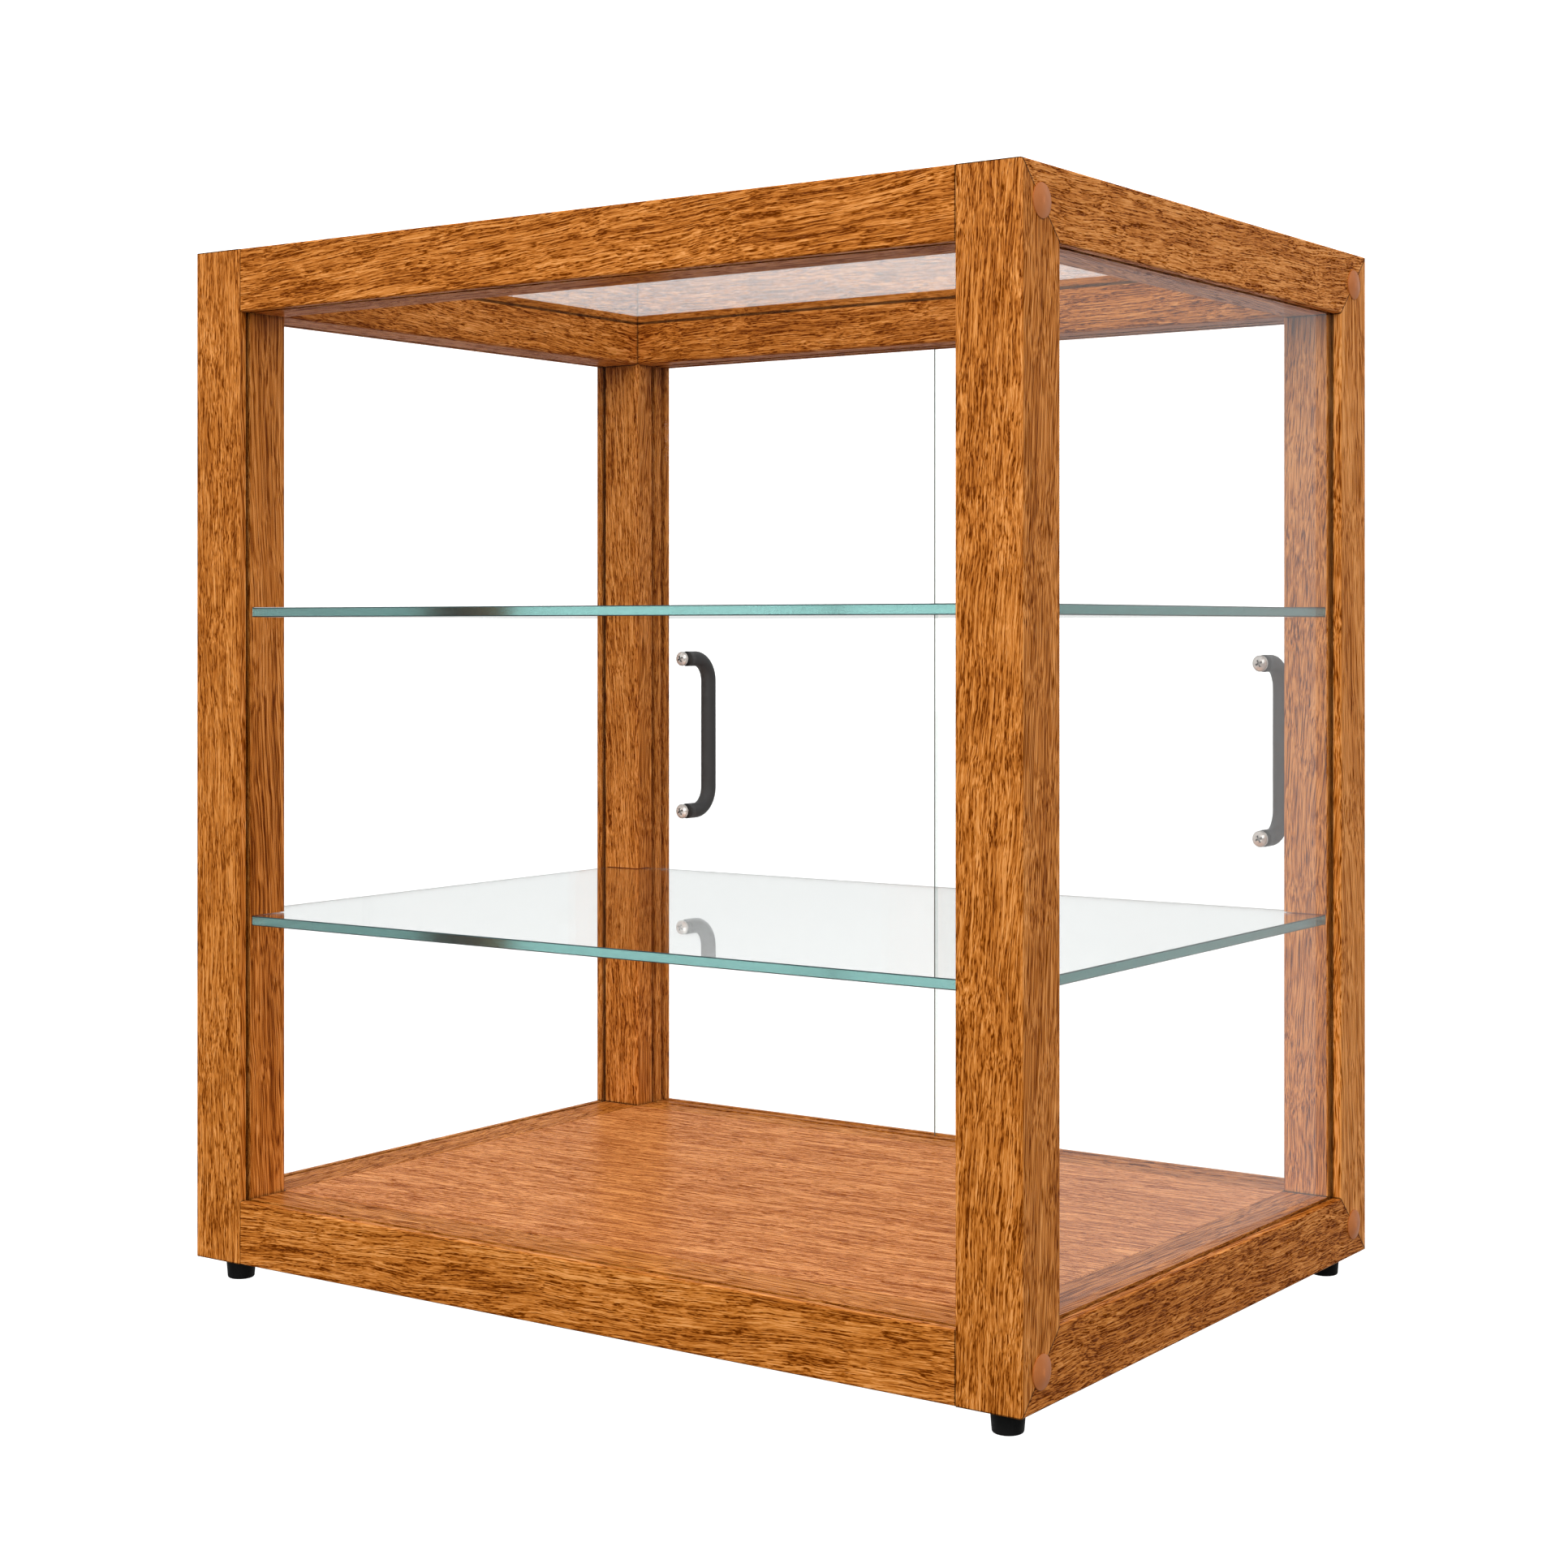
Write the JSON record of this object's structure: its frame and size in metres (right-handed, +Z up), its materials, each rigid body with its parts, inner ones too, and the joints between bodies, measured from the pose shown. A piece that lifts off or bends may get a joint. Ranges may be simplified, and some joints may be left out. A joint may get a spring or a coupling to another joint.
{
  "type": "countertop display case",
  "caption": "Free-standing oak-framed glass display case with glass shelves, rear sliding glass doors with bar handles, and rubber feet.",
  "frame": {"origin": "on the table, under the middle of the whole footprint, handles included", "axes": "+Z up, +X to the right seen from the front, -Y towards the viewer, so the doors and their handles are on the +Y side"},
  "size_m": [0.5076, 0.3937, 0.545],
  "materials": {
    "oak": "honey-stained open-grain oak, satin oil",
    "pane_glass": "clear float glass, polished",
    "shelf_glass": "clear float glass with green edges",
    "black_metal": "matt black powder coat",
    "black_rubber": "matt black rubber",
    "steel": "plain stainless steel",
    "cap_plastic": "terracotta-brown matt plastic",
    "beech": "plain beech"
  },
  "bodies": {
    "frame": {"post_front_left": "oak", "post_front_right": "oak", "post_rear_left": "oak", "post_rear_right": "oak", "top_rail_front": "oak", "top_rail_rear": "oak", "top_rail_left": "oak", "top_rail_right": "oak", "bottom_rail_front": "oak", "bottom_rail_rear": "oak", "bottom_rail_left": "oak", "bottom_rail_right": "oak", "floor_panel": "oak", "front_pane": "pane_glass", "left_pane": "pane_glass", "right_pane": "pane_glass", "top_pane": "pane_glass", "shelf_lower": "shelf_glass", "shelf_upper": "shelf_glass", "frame_bolts_left": "steel", "cover_caps_left": "cap_plastic", "mitre_dowels_left": "beech", "rail_dowels_left": "beech", "foot_front_left": "black_rubber", "foot_rear_left": "black_rubber", "frame_bolts_right": "steel", "cover_caps_right": "cap_plastic", "mitre_dowels_right": "beech", "rail_dowels_right": "beech", "foot_front_right": "black_rubber", "foot_rear_right": "black_rubber", "foot_washers": "steel", "foot_screws": "steel"},
    "door_left": {"door_left": "pane_glass", "handle_left": "black_metal", "handle_pads_left": "black_rubber", "handle_washers_left": "steel", "handle_screws_left": "steel"},
    "door_right": {"door_right": "pane_glass", "handle_right": "black_metal", "handle_pads_right": "black_rubber", "handle_washers_right": "steel", "handle_screws_right": "steel"}
  },
  "joints": [
    {"name": "door_left_slide", "type": "slide", "parent": "frame", "child": "door_left", "axis": [1, 0, 0], "range_m": [0, 0.086]},
    {"name": "door_right_slide", "type": "slide", "parent": "frame", "child": "door_right", "axis": [-1, 0, 0], "range_m": [0, 0.086]}
  ]
}
